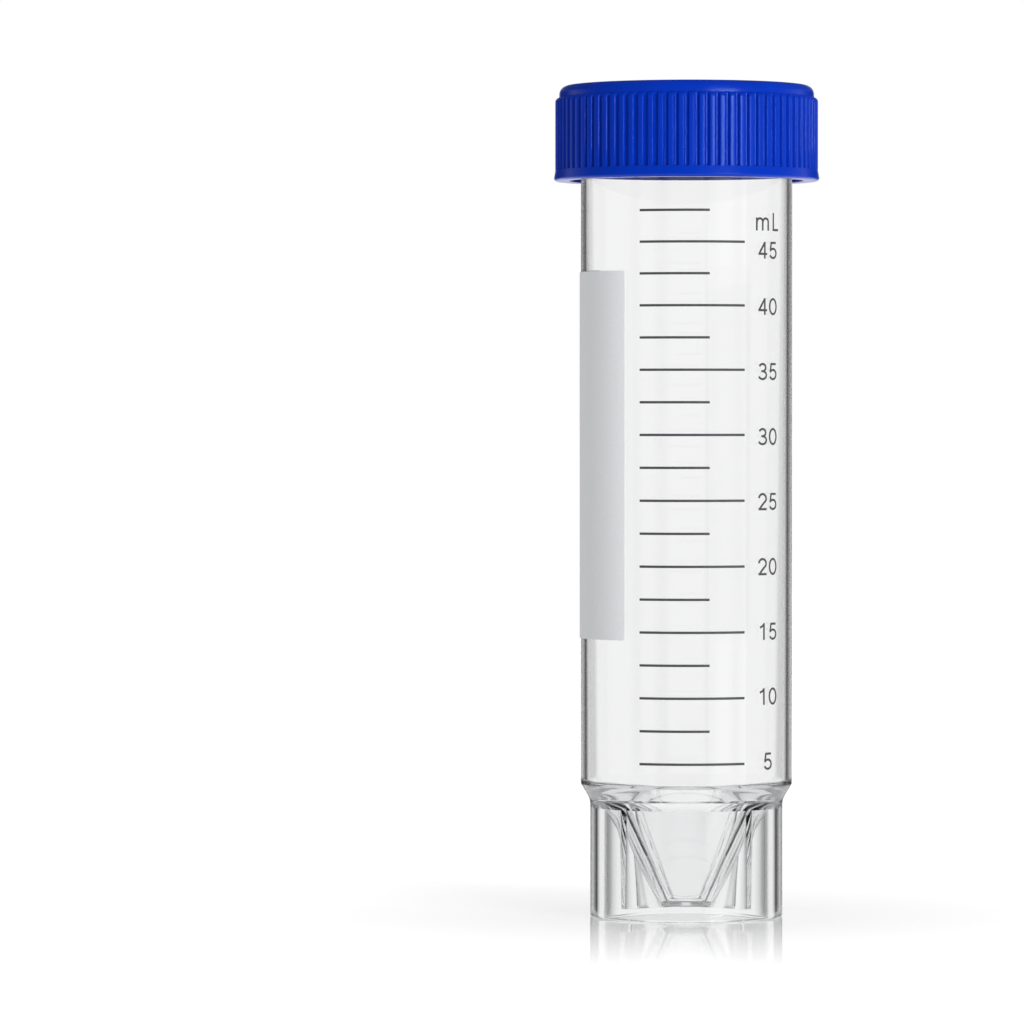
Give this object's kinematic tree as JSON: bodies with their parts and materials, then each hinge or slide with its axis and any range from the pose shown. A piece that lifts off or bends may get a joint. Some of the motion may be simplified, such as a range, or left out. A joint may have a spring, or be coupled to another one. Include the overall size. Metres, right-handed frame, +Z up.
{
  "type": "50 ml conical tube",
  "caption": "Clear self-standing centrifuge tube with a conical floor inside a skirt, a printed volume scale, a write-on label and a ribbed screw cap.",
  "frame": {"origin": "middle of the ring that the tube stands on, at the lowest height of the part", "axes": "+Z up along the tube's axis towards the cap; -Y is the front, between the two edges of the printed scale; +X is to the right seen from the front"},
  "size_m": [0.0368, 0.0368, 0.115],
  "materials": {
    "clear_plastic": "clear moulded polypropylene, polished",
    "blue_plastic": "moulded polyethylene, semi-gloss",
    "label_sheet": "matt frosted film that takes a pen",
    "scale_ink": "thin dark grey printed ink"
  },
  "bodies": {
    "tube_body": {"tube": "clear_plastic", "write_on_label": "label_sheet"},
    "cap_body": {"screw_cap": "blue_plastic"}
  },
  "joints": [
    {"name": "cap_lift", "type": "slide", "parent": "tube_body", "child": "cap_body", "axis": [0, 0, 1], "range_m": [0, 0.0125]}
  ]
}
